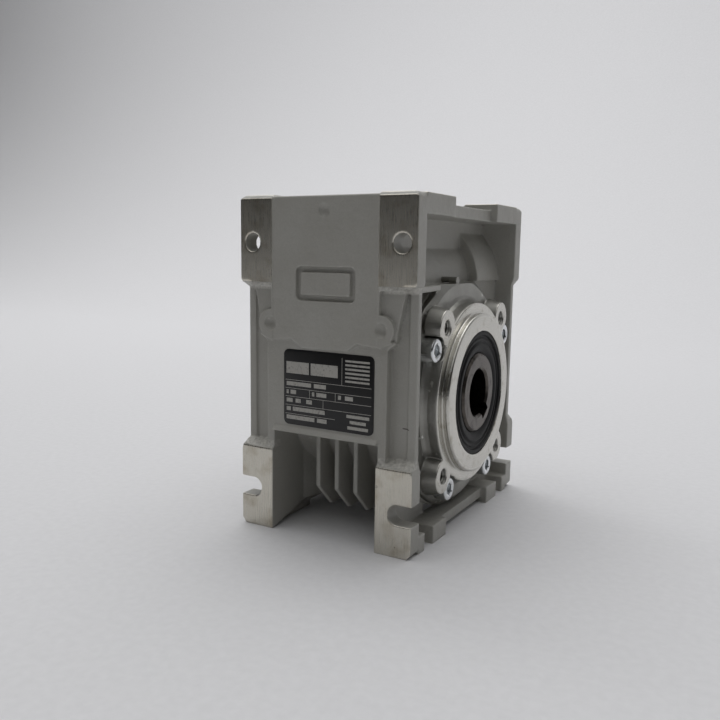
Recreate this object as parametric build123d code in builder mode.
from build123d import *
import os
from math import cos, pi, radians, sin, tan

# Right-angle worm gearbox, centre distance 40 mm, with a hollow through output shaft.
# Frame: +Z up, origin in the foot plane below the output axis. The output axis runs along X,
# the worm axis along Y. The rating label is on the -Y face and the motor side is +Y.

# Outside of the housing
face_y = 50.0  # front and rear pads
top_z = 121.5  # top pads
pad_x = 35.5  # outer edge of pads and feet
pad_inner_x = 21.5  # inner edge of pads and feet
waist_x = 34.5  # outer edge of the plates between pads and feet
plate = 6.5  # thickness of front, rear, top and foot plates
foot_top_z = 30.3  # top of the machined front of a foot
pad_bottom_z = 91.2  # bottom of the machined upper pads
waist_low_z = 33.0  # the cast surface steps back between these two heights
waist_high_z = 89.0
opening_z = 37.5  # top of the tunnel between the feet
long_pad_y = 20.4  # top pads and foot plates reach from here to the faces

# Depth of the cast levels below the machined faces
panel_step = 0.3  # proud upper panel
label_step = 1.3  # label panel
shoulder_step = 2.1  # recess beside the upper panel
rim_step = 3.7  # outer rim of the waist
floor_step = 4.7  # floor of the long recess beside the label panel
rim_x = 31.5  # inner edge of the outer rim

# Axes
axis_z = 50.0  # output axis
centre_distance = 40.0
worm_z = axis_z + centre_distance
output_section = Plane(origin=(0, 0, axis_z), x_dir=(1, 0, 0), z_dir=(0, 0, 1))
worm_section = Plane(origin=(0, 0, worm_z), x_dir=(0, 1, 0), z_dir=(1, 0, 0))

# Gear case, worm barrel and their bores
case_r = 38.0
case_right_x = 27.0  # joint face of the output cover
case_left_x = -30.8
cavity_r = 34.0
cavity_left_x = -17.2
barrel_r = 24.3
worm_bore_r = 20.0
collar_r = 28.4
collar_y = 20.0
web_x = 20.0  # half width of the web between barrel and top plate

# Output flange, the same on both sides
flange_r = 44.2
flange_top = 41.0  # height of the flat above the output axis
flange_bottom = 42.6  # and of the lower flat below it
flange_side = 43.3  # half width of the cover, clear of the front and rear plates
facet_corner = (29.0, 33.3)
ring_x = 36.5  # machined mounting ring
ring_r = 34.0
adapter_circle_r = 32.5  # threaded holes around the input
boss_foot_r = 36.4
boss_foot_x = 30.8
spigot_r = 30.0
spigot_x = 39.0
lug_circle_r = 37.5
lug_r = 6.2
tapped_r = 2.5  # M6
tapped_depth = 8.5
adapter_depth = 5.3  # threaded holes around the input, blind in the rear plate

# Cover screws, M5 socket head
cover_screws_yz = [(33.2, 19.2), (-33.2, 19.2), (19.1, -33.2), (-19.1, -33.2)]
screw_r = 2.45
screw_head_r = 4.25
screw_head_h = 5.0
screw_length = 12.0
spotface_r = 4.75

# Bearings: bore radius, outer radius, width, ball count, ball radius
output_bearing_size = (15.0, 27.5, 13.0, 11, 3.57)
front_bearing_size = (8.5, 20.0, 12.0, 8, 3.37)
rear_bearing_size = (12.5, 23.5, 12.0, 10, 3.3)
output_bearing_x = 17.4
register_x = 20.2  # inner end of the cover's register
front_bearing_y = -40.0
rear_bearing_y = 29.0
race_gap = 0.06
ball_phase = 8.0  # angle of the first ball
seal_r = 23.5
seal_width = 7.0
output_seal_x = 31.6
retaining_ring_y = 41.15
input_seal_y = 42.95
lip_gap = 0.06

# Shafts
hollow_end_x = 38.5
hollow_bore_r = 9.0
hollow_key = (6.0, 11.8)  # keyway width, and its floor from the axis
key_angle = -52.0  # turn of both keyways about the output axis, from +Y
input_end_y = 49.5
input_bore_r = 7.0
input_bore_start_y = 21.5
input_key = (5.0, 9.3)

# Worm gearing
module = 2.0
starts = 3
wheel_teeth = 30
worm_r = 10.0
wheel_r = module * wheel_teeth / 2
addendum = module
dedendum = 1.2 * module
pressure_angle = radians(20)
flank_relief = 0.24  # taken off each flank for running clearance
wheel_width = 20.0
hub_r = 24.0
lead = starts * pi * module
worm_half_length = 18.0

# Front details
label_size = (37.0, 27.2)
label_centre = (1.5, 54.0)
upper_hole = (30.0, 105.0, 3.25)  # x, z and radius
foot_slot_z = 14.8
foot_slot_y = 35.2
foot_slot_x = 30.0
slot_r = 3.5
lug_dimple = (22.5, 76.5)  # cast dimple in the round corner of the upper panel
lug_dimple_r = 5.0
fin_x = (-8.0, 0.0, 8.0)
fin_width = 1.8


def finish(builder, name):
    """Label the finished piece and write it."""
    builder.part.label = name
    export_step(builder.part, f"parts/{name}.step")


def revolve_section(section, points, mode=Mode.ADD):
    """Turn an outline of (axial, radial) points about the section plane's own x axis."""
    with BuildSketch(section) as outline:
        with BuildLine():
            Polyline(*points, close=True)
        make_face()
    revolve(outline.sketch, axis=Axis(section.origin, section.x_dir), mode=mode)


def turned_bar(section, start, end, radius, mode=Mode.ADD):
    """A plain cylinder between two places on an axis."""
    revolve_section(section, [(start, 0), (end, 0), (end, radius), (start, radius)], mode)


def block(x, y, z, mode=Mode.ADD):
    """A block between two values on each axis."""
    centre = tuple((span[0] + span[1]) / 2 for span in (x, y, z))
    with Locations(centre):
        Box(x[1] - x[0], y[1] - y[0], z[1] - z[0], mode=mode)


def face_prism(points, level, depth, mode=Mode.ADD):
    """Push an outline in x and z inwards from a level that is measured from the front face."""
    plane = Plane(origin=(0, -level, 0), x_dir=(1, 0, 0), z_dir=(0, 1, 0))
    with BuildSketch(plane) as outline:
        with BuildLine():
            Polyline(*[(x, -z) for x, z in points], close=True)
        make_face()
    extrude(outline.sketch, amount=depth, mode=mode)


def flange_outline(radius, half_width):
    """Round flange with a flat on top and two facets beside it, and flats below and at the sides."""
    top_y = (radius**2 - flange_top**2) ** 0.5
    with BuildLine() as outline:
        Polyline(
            (-half_width, -flange_bottom),
            (half_width, -flange_bottom),
            (half_width, facet_corner[1]),
            facet_corner,
            (top_y, flange_top),
            (-top_y, flange_top),
            (-facet_corner[0], facet_corner[1]),
            (-half_width, facet_corner[1]),
            close=True,
        )
    make_face(outline.line)
    Circle(radius, mode=Mode.INTERSECT)


def output_flange(side, start, half_width):
    """Mounting flange, boss, spigot and four tapped lugs on one side of the case."""
    outward = Plane(origin=(start * side, 0, axis_z), x_dir=(0, side, 0), z_dir=(side, 0, 0))
    with BuildSketch(outward) as disc:
        flange_outline(flange_r, half_width)
    extrude(disc.sketch, amount=boss_foot_x - start)
    foot = Plane(origin=(boss_foot_x * side, 0, axis_z), x_dir=(0, side, 0), z_dir=(side, 0, 0))
    with BuildSketch(foot) as lugs:
        with PolarLocations(lug_circle_r, 4, start_angle=45):
            Circle(lug_r)
    extrude(lugs.sketch, amount=ring_x - boss_foot_x)
    with BuildSketch(Plane(origin=(ring_x * side, 0, axis_z), z_dir=(-side, 0, 0))) as drafts:
        with PolarLocations(lug_circle_r, 4, start_angle=45):
            Circle(lug_r)
    extrude(drafts.sketch, amount=ring_x - boss_foot_x, taper=-14)
    boss = [
        (start, 20),
        (spigot_x, 20),
        (spigot_x, spigot_r - 0.5),
        (spigot_x - 0.5, spigot_r),
        (ring_x, spigot_r),
        (ring_x, ring_r - 0.4),
        (ring_x - 0.4, ring_r),
        (boss_foot_x + 2.2, ring_r + 0.5),
        (boss_foot_x + 0.8, ring_r + 1.1),
        (boss_foot_x, boss_foot_r),
        (start, boss_foot_r),
    ]
    revolve_section(output_section, [(a * side, r) for a, r in boss])
    rim = [(boss_foot_x - 2.8, 45), (boss_foot_x, 41.4), (boss_foot_x, 45)]
    revolve_section(output_section, [(a * side, r) for a, r in rim], Mode.SUBTRACT)


def lug_holes(side):
    """Blind tapped holes in the four lugs, with chamfered mouths."""
    ring = Plane(origin=(ring_x * side, 0, axis_z), x_dir=(0, side, 0), z_dir=(side, 0, 0))
    with BuildSketch(ring) as holes:
        with PolarLocations(lug_circle_r, 4, start_angle=45):
            Circle(tapped_r)
    extrude(holes.sketch, amount=-tapped_depth, mode=Mode.SUBTRACT)
    with BuildSketch(ring) as mouths:
        with PolarLocations(lug_circle_r, 4, start_angle=45):
            Circle(tapped_r + 0.6)
    extrude(mouths.sketch, amount=-0.6, taper=45, mode=Mode.SUBTRACT)


def bearing(name, section, start, size):
    """Deep groove ball bearing: outer ring, inner ring, balls and cage, one piece each."""
    bore_r, outer_r, width, count, ball_r = size
    axis = Axis(section.origin, section.x_dir)
    mean_r = (bore_r + outer_r) / 2
    land = 0.56 * ball_r
    middle = start + width / 2
    for ring, low, high in (
        ("inner_ring", bore_r, mean_r - land),
        ("outer_ring", mean_r + land, outer_r),
    ):
        with BuildPart() as race:
            with BuildSketch(section):
                with Locations((middle, (low + high) / 2)):
                    blank = Rectangle(width, high - low)
                chamfer(blank.vertices(), 0.4)
                with Locations((middle, mean_r)):
                    Circle(ball_r + race_gap, mode=Mode.SUBTRACT)
            revolve(axis=axis)
        finish(race, f"{name}_{ring}")

    across = Plane(origin=section.from_local_coords((middle, 0)), z_dir=section.x_dir)
    with BuildPart(across) as balls:
        with PolarLocations(mean_r, count, start_angle=ball_phase):
            Sphere(ball_r)
    finish(balls, f"{name}_balls")

    with BuildPart(across) as cage:
        with BuildSketch(section):
            with Locations((middle, mean_r)):
                Rectangle(2 * ball_r + 1.8, 2 * land - 0.8)
        revolve(axis=axis)
        with PolarLocations(mean_r, count, start_angle=ball_phase):
            Cylinder(ball_r + 0.12, 4 * land, rotation=(0, 90, 0), mode=Mode.SUBTRACT)
    finish(cage, f"{name}_cage")


def shaft_seal(name, section, start, shaft_r, outward=1):
    """Rotary shaft seal with a dust lip outside and a main lip inside."""
    lip_r = shaft_r + lip_gap
    outline = [
        (0.0, seal_r - 0.5),
        (0.5, seal_r),
        (seal_width - 0.4, seal_r),
        (seal_width, seal_r - 0.4),
        (seal_width, seal_r - 1.7),
        (seal_width - 0.7, seal_r - 2.2),
        (seal_width - 0.7, lip_r + 3.4),
        (seal_width - 0.1, lip_r + 2.9),
        (seal_width - 0.1, lip_r + 1.2),
        (seal_width - 0.9, lip_r),
        (seal_width - 1.3, lip_r),
        (seal_width - 1.9, lip_r + 1.7),
        (4.0, lip_r + 1.7),
        (3.0, lip_r),
        (2.5, lip_r),
        (1.0, lip_r + 1.6),
        (0.6, lip_r + 3.4),
        (4.4, lip_r + 3.4),
        (4.4, seal_r - 2.4),
        (0.0, seal_r - 2.4),
    ]
    with BuildPart() as seal:
        revolve_section(section, [(outward * (start + a), r) for a, r in outline])
    finish(seal, name)


# Long recess beside the label panel, bounded by the slanted edge of the upper panel. Its ends
# slope up to the machined pads.
with BuildPart() as waist_recess:
    outline = [
        (24.7, foot_top_z - 1),
        (24.7, 70.0),
        (27.4, 72.2),
        (28.4, 78.8),
        (30.7, waist_high_z),
        (31.0, pad_bottom_z),
        (rim_x, pad_bottom_z),
        (rim_x, foot_top_z - 1),
    ]
    face_prism(outline, face_y, floor_step)
    with BuildSketch(Plane.YZ):
        with BuildLine():
            Polyline(
                (-face_y, foot_top_z),
                (-face_y + floor_step, waist_low_z),
                (-face_y + floor_step, waist_high_z - 0.5),
                (-face_y, pad_bottom_z),
                close=True,
            )
        make_face()
    extrude(amount=pad_x, mode=Mode.INTERSECT)

# Step along the outer rim, with the same sloped ends.
with BuildPart() as rim_recess:
    with BuildSketch(Plane.YZ.offset(rim_x)):
        with BuildLine():
            Polyline(
                (-face_y, foot_top_z),
                (-face_y + rim_step, waist_low_z),
                (-face_y + rim_step, waist_high_z),
                (-face_y, pad_bottom_z),
                close=True,
            )
        make_face()
    extrude(amount=pad_x - rim_x + 1)

# Label panel: everything below the lower edge of the upper panel, down to the feet.
with BuildPart() as label_recess:
    outline = [
        (0.0, 68.6),
        (9.5, 68.6),
        (13.5, 71.4),
        (22.5, 70.5),
        (26.7, 72.2),
        (28.5, 76.5),
        (31.5, 76.5),
        (31.5, foot_top_z),
        (0.0, foot_top_z),
    ]
    face_prism(outline, face_y, label_step)
    with BuildSketch(Plane.YZ):
        with BuildLine():
            Polyline(
                (-face_y, foot_top_z),
                (-face_y + label_step, foot_top_z + 0.9),
                (-face_y + label_step, top_z),
                (-face_y, top_z),
                close=True,
            )
        make_face()
    extrude(amount=pad_x, mode=Mode.INTERSECT)
    mirror(about=Plane.YZ)

with BuildPart() as housing:
    # Front and rear plates with the tunnel between the feet.
    plate_outline = [
        (pad_x, top_z),
        (pad_x, pad_bottom_z + 1.0),
        (waist_x, waist_high_z),
        (waist_x, waist_low_z),
        (pad_x, foot_top_z - 1.5),
        (pad_x, 2.0),
        (pad_x - 1.6, 0),
        (pad_inner_x, 0),
        (pad_inner_x, opening_z),
    ]
    plate_outline += [(-x, z) for x, z in reversed(plate_outline)]
    face_prism(plate_outline, face_y, plate)
    face_prism(plate_outline, -face_y + plate, plate)
    corners = housing.edges().filter_by(Axis.Y).group_by(Axis.Z)
    fillet(corners[-1], 2.2)

    # Top plate: raised at both ends, narrower and lower in the middle.
    block((-32.7, 32.7), (-face_y + plate, face_y - plate), (top_z - plate - 0.4, 119.0))
    for side in (-1, 1):
        ends = sorted((side * long_pad_y, side * (face_y - plate)))
        block((-pad_x, pad_x), ends, (top_z - plate - 0.4, top_z))

    block((-pad_inner_x, pad_inner_x), (-face_y, face_y), (top_z - 0.6, top_z + 1), Mode.SUBTRACT)

    # Foot plates on both sides and the narrower, raised rib between them.
    for x_side in (-1, 1):
        rib_x = sorted((x_side * pad_inner_x, x_side * 33.0))
        foot_x = sorted((x_side * pad_inner_x, x_side * pad_x))
        block(rib_x, (-long_pad_y, long_pad_y), (2.3, 6.0))
        for y_side in (-1, 1):
            foot_y = sorted((y_side * long_pad_y, y_side * (face_y - plate)))
            block(foot_x, foot_y, (0, plate))
            cheek = [
                (26, face_y - plate),
                (pad_inner_x, face_y - plate),
                (pad_inner_x, 30),
                (16.3, long_pad_y),
                (26, long_pad_y),
            ]
            with BuildSketch(Plane.XY.offset(plate - 0.4)):
                with BuildLine():
                    Polyline(*[(x * x_side, y * y_side) for x, y in cheek], close=True)
                make_face()
            extrude(amount=axis_z - plate)

    # Shelf from the front plate to the top of each output flange.
    shelf = [(20, -43.5), (34, -43.5), (30.6, -20.3), (26.9, -20.3), (26.9, 20), (20, 20)]
    for x_side in (-1, 1):
        with BuildSketch(Plane.XY.offset(89)):
            with BuildLine():
                Polyline(*[(x * x_side, y) for x, y in shelf], close=True)
            make_face()
        extrude(amount=2)

    # Gear case, flanges and worm barrel.
    turned_bar(output_section, case_left_x, case_right_x, case_r)
    block((-web_x, web_x), (-face_y + plate, face_y - plate), (opening_z + 1.5, worm_z))
    for side in (-1, 1):
        seat = Plane(origin=(pad_inner_x * side, 0, axis_z), x_dir=(0, side, 0), z_dir=(side, 0, 0))
        with BuildSketch(seat):
            flange_outline(flange_r + 0.5, flange_r)
        extrude(amount=case_right_x - pad_inner_x)
    # Bosses for the lower cover screws.
    with BuildSketch(Plane.YZ.offset(pad_inner_x + 0.5)):
        with Locations(*[(y, axis_z + z) for y, z in cover_screws_yz if z < 0]):
            Circle(4.2)
    extrude(amount=-5.5)
    output_flange(-1, 24.0, flange_r)
    turned_bar(worm_section, -face_y + plate, face_y - plate, barrel_r)
    turned_bar(worm_section, collar_y, face_y, collar_r)
    block((-web_x, web_x), (-face_y + plate, face_y - plate), (worm_z, top_z - plate))
    # The collar is cut back where the cover passes it.
    cover_side = (case_right_x, collar_r + 1)
    cover_top = axis_z + flange_top + 0.3
    block(cover_side, (collar_y - 1, face_y - plate), (worm_z - 15, cover_top), Mode.SUBTRACT)

    # Cooling fins under the case, front and rear.
    for x in fin_x:
        with BuildSketch(Plane.YZ.offset(x - fin_width / 2)):
            with BuildLine():
                Polyline(
                    (-8, 7),
                    (-31, 7),
                    (-40, 16),
                    (-40, opening_z),
                    (-face_y + plate, opening_z),
                    (-face_y + plate, axis_z),
                    (-8, axis_z),
                    close=True,
                )
            make_face()
            mirror(about=Plane.YZ)
        extrude(amount=fin_width)

    # Cast levels of the front and rear faces.
    for recess in (waist_recess, rim_recess):
        add(recess.part, mode=Mode.SUBTRACT)
        add(recess.part.mirror(Plane.YZ), mode=Mode.SUBTRACT)
        add(recess.part.mirror(Plane.XZ), mode=Mode.SUBTRACT)
        add(recess.part.mirror(Plane.XZ).mirror(Plane.YZ), mode=Mode.SUBTRACT)
    add(label_recess.part, mode=Mode.SUBTRACT)
    panel = [(-pad_inner_x, 60), (pad_inner_x, 60), (pad_inner_x, top_z), (-pad_inner_x, top_z)]
    face_prism(panel, face_y, panel_step, mode=Mode.SUBTRACT)
    with BuildSketch(Plane.XZ.offset(face_y - shoulder_step)):
        with BuildLine():
            Polyline((22.0, 89.6), (31.0, 89.6), (28.6, 78.8), (27.6, 72.8), (22.0, 72.8), close=True)
        make_face()
        with Locations(lug_dimple):
            Circle(lug_dimple_r, mode=Mode.SUBTRACT)
        mirror(about=Plane.YZ)
    extrude(amount=shoulder_step, mode=Mode.SUBTRACT)
    for y_side in (-1, 1):
        with BuildSketch(Plane.YZ.offset(-pad_x)):
            with BuildLine():
                Polyline(
                    (y_side * (face_y + 0.1), top_z - 1.3),
                    (y_side * face_y, top_z - 1.3),
                    (y_side * (face_y - 1.3), top_z),
                    (y_side * (face_y - 1.3), top_z + 0.1),
                    (y_side * (face_y + 0.1), top_z + 0.1),
                    close=True,
                )
            make_face()
        extrude(amount=2 * pad_x, mode=Mode.SUBTRACT)

    # Ledge below the label.
    with BuildSketch(Plane.YZ.offset(-pad_inner_x)):
        with BuildLine():
            Polyline(
                (-face_y + label_step, 39.6),
                (-face_y, 37.9),
                (-face_y, opening_z),
                (-face_y + label_step, opening_z),
                close=True,
            )
        make_face()
    extrude(amount=2 * pad_inner_x)

    # Small cast dimples, and the closed rectangular groove on the upper panel.
    for x, z in ((0, 115.8), (-lug_dimple[0], lug_dimple[1]), lug_dimple):
        with Locations((x, -face_y - 1.2, z)):
            Sphere(2.8, mode=Mode.SUBTRACT)
    with BuildSketch(Plane.XZ.offset(face_y - 1.9)):
        with Locations((0.5, 91.0)):
            RectangleRounded(24, 11.8, 2)
            RectangleRounded(20, 7.8, 0.6, mode=Mode.SUBTRACT)
    extrude(amount=2, mode=Mode.SUBTRACT)

    # Inside of the gear case and the left bearing and seal seats.
    turned_bar(output_section, cavity_left_x, case_right_x + 1, cavity_r, Mode.SUBTRACT)
    turned_bar(output_section, -30.4, cavity_left_x, 27.5, Mode.SUBTRACT)
    turned_bar(output_section, -spigot_x - 1, -30.4, seal_r, Mode.SUBTRACT)
    lug_holes(-1)

    # Worm bore, blind at the front, with the rear bearing seat and its ring groove.
    turned_bar(worm_section, front_bearing_y, rear_bearing_y, worm_bore_r, Mode.SUBTRACT)
    turned_bar(worm_section, rear_bearing_y, face_y + 1, seal_r, Mode.SUBTRACT)
    turned_bar(worm_section, retaining_ring_y - 0.1, retaining_ring_y + 1.7, 24.75, Mode.SUBTRACT)

    # Threaded holes for the cover screws, and for the motor adapter around the input.
    with BuildSketch(Plane.YZ.offset(case_right_x)):
        with Locations(*[(y, axis_z + z) for y, z in cover_screws_yz]):
            Circle(2.5)
    extrude(amount=-(screw_length - 3.8 + 1.5), mode=Mode.SUBTRACT)
    with BuildSketch(Plane.XZ.offset(-face_y)):
        with Locations((0, worm_z)):
            with PolarLocations(adapter_circle_r, 4, start_angle=45):
                Circle(tapped_r)
    extrude(amount=adapter_depth, mode=Mode.SUBTRACT)

    # Through holes in the front upper pads.
    with BuildSketch(Plane.XZ.offset(face_y)):
        with Locations((upper_hole[0], upper_hole[1]), (-upper_hole[0], upper_hole[1])):
            Circle(upper_hole[2])
    extrude(amount=-plate, mode=Mode.SUBTRACT)

    # U-slots open to the sides: through the fronts of the feet and through the foot plates.
    for x_side in (-1, 1):
        slot_x = sorted((x_side * foot_slot_x, x_side * 40))
        for y_side in (-1, 1):
            plate_y = sorted((y_side * (face_y - plate - 0.01), y_side * (face_y + 1)))
            block(slot_x, plate_y, (foot_slot_z - slot_r, foot_slot_z + slot_r), Mode.SUBTRACT)
            end = (x_side * foot_slot_x, y_side * (face_y - plate / 2), foot_slot_z)
            with Locations(Location(end, (90, 0, 0))):
                Cylinder(slot_r, plate + 0.02, mode=Mode.SUBTRACT)
            middle_y = y_side * foot_slot_y
            block(slot_x, (middle_y - slot_r, middle_y + slot_r), (-1, plate + 0.01), Mode.SUBTRACT)
            with Locations((x_side * foot_slot_x, middle_y, plate / 2)):
                Cylinder(slot_r, plate + 0.02, mode=Mode.SUBTRACT)

    # The underside rises between the feet towards the case.
    with BuildSketch(Plane.YZ.offset(-24.5)):
        with BuildLine():
            Polyline((-49, -0.1), (-25, 6.6), (25, 6.6), (49, -0.1), close=True)
        make_face()
    extrude(amount=49, mode=Mode.SUBTRACT)
finish(housing, "housing")

with BuildPart() as output_cover:
    output_flange(1, case_right_x, flange_side)
    # Register that centres the cover in the case, with the groove for the O-ring.
    register = [
        (register_x, 27.5),
        (register_x, cavity_r - 1),
        (register_x + 0.8, cavity_r - 0.04),
        (23.2, cavity_r - 0.04),
        (23.2, 32.1),
        (25.6, 32.1),
        (25.6, cavity_r - 0.04),
        (28.0, cavity_r - 0.04),
        (28.0, 27.5),
    ]
    revolve_section(output_section, register)
    turned_bar(output_section, 16, 30.4, 27.5, Mode.SUBTRACT)
    turned_bar(output_section, 30, spigot_x + 1, seal_r, Mode.SUBTRACT)
    # Cast nub on the top flat, with a pin that reaches over the case.
    with Locations(Location((29.0, -5, axis_z + flange_top + 1.0), (0, 90, 0))):
        Cylinder(1.5, 3.0)
    with Locations(Location((25.6, -5, axis_z + flange_top + 1.4), (0, 90, 0))):
        Cylinder(1.1, 4.2)
    lug_holes(1)
    with BuildSketch(Plane.YZ.offset(boss_foot_x)):
        with Locations(*[(y, axis_z + z) for y, z in cover_screws_yz]):
            Circle(spotface_r)
    extrude(amount=10, mode=Mode.SUBTRACT)
    with BuildSketch(Plane.YZ.offset(boss_foot_x)):
        with Locations(*[(y, axis_z + z) for y, z in cover_screws_yz]):
            Circle(2.75)
    extrude(amount=-10, mode=Mode.SUBTRACT)
finish(output_cover, "output_cover")

with BuildPart() as cover_screws:
    screw_plane = Plane.YZ.offset(boss_foot_x + 0.02)
    screw_points = [(y, axis_z + z) for y, z in cover_screws_yz]
    with BuildSketch(screw_plane):
        with Locations(*screw_points):
            Circle(screw_head_r)
    extrude(amount=screw_head_h)
    chamfer(cover_screws.faces().sort_by(Axis.X)[-4:].edges(), 0.35)
    with BuildSketch(screw_plane):
        with Locations(*screw_points):
            Circle(screw_r)
    extrude(amount=-screw_length)
    with BuildSketch(screw_plane.offset(screw_head_h)):
        with Locations(*screw_points):
            RegularPolygon(2.0, 6, major_radius=False)
    extrude(amount=-2.6, mode=Mode.SUBTRACT)
finish(cover_screws, "cover_screws")

with BuildPart() as cover_o_ring:
    with BuildSketch(output_section):
        with Locations((24.4, 33.02)):
            Circle(0.9)
    revolve(axis=Axis(output_section.origin, output_section.x_dir))
finish(cover_o_ring, "cover_o_ring")

for side_name, side in (("right", 1), ("left", -1)):
    start = output_bearing_x if side > 0 else -output_bearing_x - output_bearing_size[2]
    bearing(f"output_bearing_{side_name}", output_section, start, output_bearing_size)
    shaft_seal(f"output_seal_{side_name}", output_section, output_seal_x, 15.0, side)
bearing("worm_bearing_front", worm_section, front_bearing_y, front_bearing_size)
bearing("worm_bearing_rear", worm_section, rear_bearing_y, rear_bearing_size)
shaft_seal("input_seal", worm_section, input_seal_y, 12.5)

with BuildPart() as bearing_retaining_ring:
    ring_plane = Plane(origin=(0, retaining_ring_y, worm_z), x_dir=(1, 0, 0), z_dir=(0, 1, 0))
    with BuildSketch(ring_plane):
        Circle(24.6)
        with Locations((0, 0.6)):
            Circle(21.9, mode=Mode.SUBTRACT)
        with Locations((0, 24)):
            Rectangle(9, 9, mode=Mode.SUBTRACT)
        for x_side in (-1, 1):
            with Locations((x_side * 6.6, 20.9)):
                Circle(2.6)
                Circle(1.0, mode=Mode.SUBTRACT)
        Circle(24.6, mode=Mode.INTERSECT)
    extrude(amount=1.6)
finish(bearing_retaining_ring, "bearing_retaining_ring")

with BuildPart() as hollow_output_shaft:
    # Hub with a collar between the bearings, and the two bearing journals.
    half_section = [
        (0, 0),
        (hollow_end_x, 0),
        (hollow_end_x, 14.2),
        (hollow_end_x - 0.8, 15.0),
        (output_bearing_x, 15.0),
        (output_bearing_x, 17.8),
        (wheel_width / 2 + 1, 17.8),
        (wheel_width / 2 + 1, hub_r - 2),
        (wheel_width / 2, hub_r),
        (0, hub_r),
    ]
    revolve_section(output_section, half_section)
    mirror(about=Plane.YZ)
    turned_bar(output_section, -40, 40, hollow_bore_r, Mode.SUBTRACT)
    for x in (-hollow_end_x, hollow_end_x):
        inner = x - 0.8 * (1 if x > 0 else -1)
        cone = [(x, 0), (x, hollow_bore_r + 0.8), (inner, hollow_bore_r), (inner, 0)]
        revolve_section(output_section, cone, Mode.SUBTRACT)
    key_x = (cos(radians(key_angle)), sin(radians(key_angle)))
    key_plane = Plane(origin=(-40, 0, axis_z), x_dir=(0, key_x[0], key_x[1]), z_dir=(1, 0, 0))
    with BuildSketch(key_plane):
        with Locations((hollow_key[1] / 2, 0)):
            Rectangle(hollow_key[1], hollow_key[0])
    extrude(amount=80, mode=Mode.SUBTRACT)
finish(hollow_output_shaft, "hollow_output_shaft")

# Wheel tooth in the middle plane. Angles are from the tooth's own centre line. The flank is the
# involute of the base circle, thinned by the running relief.
root_r = wheel_r - dedendum
tip_r = wheel_r + addendum
base_r = wheel_r * cos(pressure_angle)
involute_at_pitch = tan(pressure_angle) - pressure_angle


def tooth_half_angle(radius):
    """Half the tooth's angle at one radius."""
    roll = max(radius**2 / base_r**2 - 1, 0) ** 0.5
    roll_angle = roll - Vector(1, 0).get_angle(Vector(1, roll)) * pi / 180
    pitch_angle = pi / (2 * wheel_teeth) - flank_relief / wheel_r
    return pitch_angle + involute_at_pitch - roll_angle


twist_per_mm = lead / (2 * pi * worm_r * wheel_r)
with BuildPart() as wheel_tooth:
    for step in range(5):
        x = wheel_width * (step / 4 - 0.5)
        turn = x * twist_per_mm
        radial = (0, cos(turn), sin(turn))
        radii = [root_r - 0.6] + [root_r + 0.4 + (tip_r - root_r - 0.4) * i / 4 for i in range(5)]
        halves = [(r, tooth_half_angle(r)) for r in radii]
        with BuildSketch(Plane(origin=(x, 0, axis_z), x_dir=radial, z_dir=(1, 0, 0))):
            with BuildLine():
                left = Spline(*[(r * cos(a), r * sin(a)) for r, a in halves])
                right = Spline(*[(r * cos(a), -r * sin(a)) for r, a in halves])
                Line(left @ 0, right @ 0)
                Line(left @ 1, right @ 1)
            make_face()
    loft()

with BuildPart() as worm_wheel_rim:
    rim_section = [
        (-wheel_width / 2, hub_r),
        (wheel_width / 2, hub_r),
        (wheel_width / 2, root_r),
        (-wheel_width / 2, root_r),
    ]
    revolve_section(output_section, rim_section)
    wheel_axis = Axis(output_section.origin, output_section.x_dir)
    for index in range(wheel_teeth):
        add(wheel_tooth.part.rotate(wheel_axis, 360 * index / wheel_teeth))
finish(worm_wheel_rim, "worm_wheel_rim")

# One thread of the worm about its own Z axis, long enough that a thread passes the middle of
# the worm on the side that faces the wheel.
thread_half_length = 4 * pi * module


def thread_half_width(radius):
    """Half the thread's axial width at one radius."""
    return pi * module / 4 - flank_relief - (radius - worm_r) * tan(pressure_angle)


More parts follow.
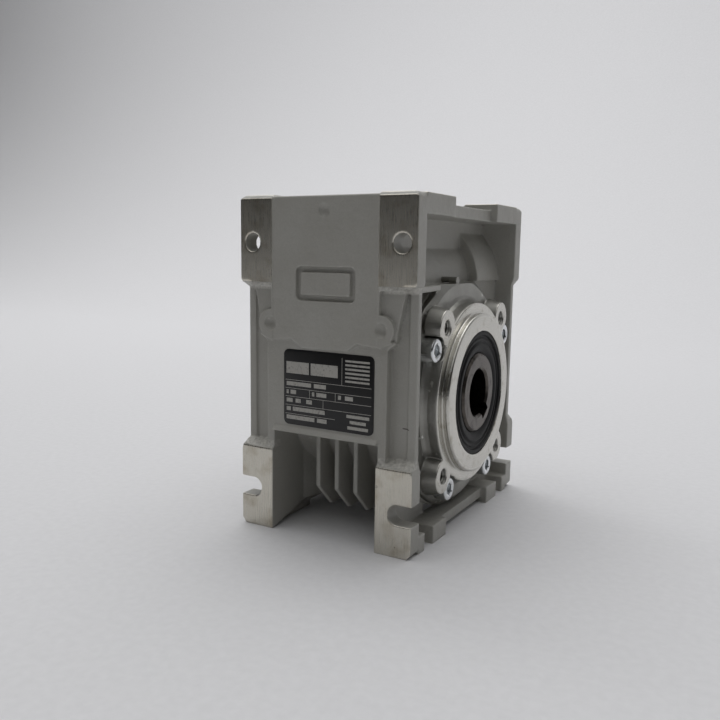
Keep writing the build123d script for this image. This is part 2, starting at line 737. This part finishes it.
with BuildPart() as worm_thread:
    with BuildLine():
        helix = Helix(lead, 2 * thread_half_length, worm_r, center=(0, 0, -thread_half_length))
    thread_root_r = worm_r - dedendum - 0.3
    thread_tip_r = worm_r + addendum
    with BuildSketch(Plane(origin=(0, 0, -thread_half_length), x_dir=(1, 0, 0), z_dir=(0, -1, 0))):
        with BuildLine():
            Polyline(
                (thread_root_r, -thread_half_width(thread_root_r)),
                (thread_tip_r, -thread_half_width(thread_tip_r)),
                (thread_tip_r, thread_half_width(thread_tip_r)),
                (thread_root_r, thread_half_width(thread_root_r)),
                close=True,
            )
        make_face()
    sweep(path=helix, is_frenet=True)

with BuildPart() as worm_shaft:
    toward_wheel = Plane(origin=(0, 0, worm_z), x_dir=(0, 0, -1), z_dir=(0, 1, 0))
    with Locations(toward_wheel.location):
        add(worm_thread.part)
        add(worm_thread.part.rotate(Axis.Z, 120))
        add(worm_thread.part.rotate(Axis.Z, 240))
    worm_blank = [(-18, 0), (18, 0), (18, 10.4), (16.4, 13), (-16.4, 13), (-18, 10.4)]
    revolve_section(worm_section, worm_blank, Mode.INTERSECT)
    shaft_outline = [
        (front_bearing_y, 0),
        (input_end_y, 0),
        (input_end_y, 11.9),
        (input_end_y - 0.6, 12.5),
        (rear_bearing_y, 12.5),
        (rear_bearing_y, 15.0),
        (rear_bearing_y - 3, 15.0),
        (rear_bearing_y - 4.5, 12.3),
        (worm_half_length + 3.5, 12.3),
        (worm_half_length - 0.5, worm_r - dedendum),
        (-worm_half_length + 0.5, worm_r - dedendum),
        (front_bearing_y + 15, 10.5),
        (front_bearing_y + 12, 10.5),
        (front_bearing_y + 12, 8.5),
        (front_bearing_y + 0.6, 8.5),
        (front_bearing_y, 7.9),
    ]
    revolve_section(worm_section, shaft_outline)
    turned_bar(worm_section, input_bore_start_y, input_end_y + 1, input_bore_r, Mode.SUBTRACT)
    block(
        (-input_key[0] / 2, input_key[0] / 2),
        (input_bore_start_y, input_end_y + 1),
        (worm_z, worm_z + input_key[1]),
        Mode.SUBTRACT,
    )
finish(worm_shaft, "worm_shaft")

with BuildPart() as rating_label:
    with BuildSketch(Plane.XZ.offset(face_y - label_step)):
        with Locations(label_centre):
            RectangleRounded(*label_size, 1.6)
    extrude(amount=0.25)
finish(rating_label, "rating_label")
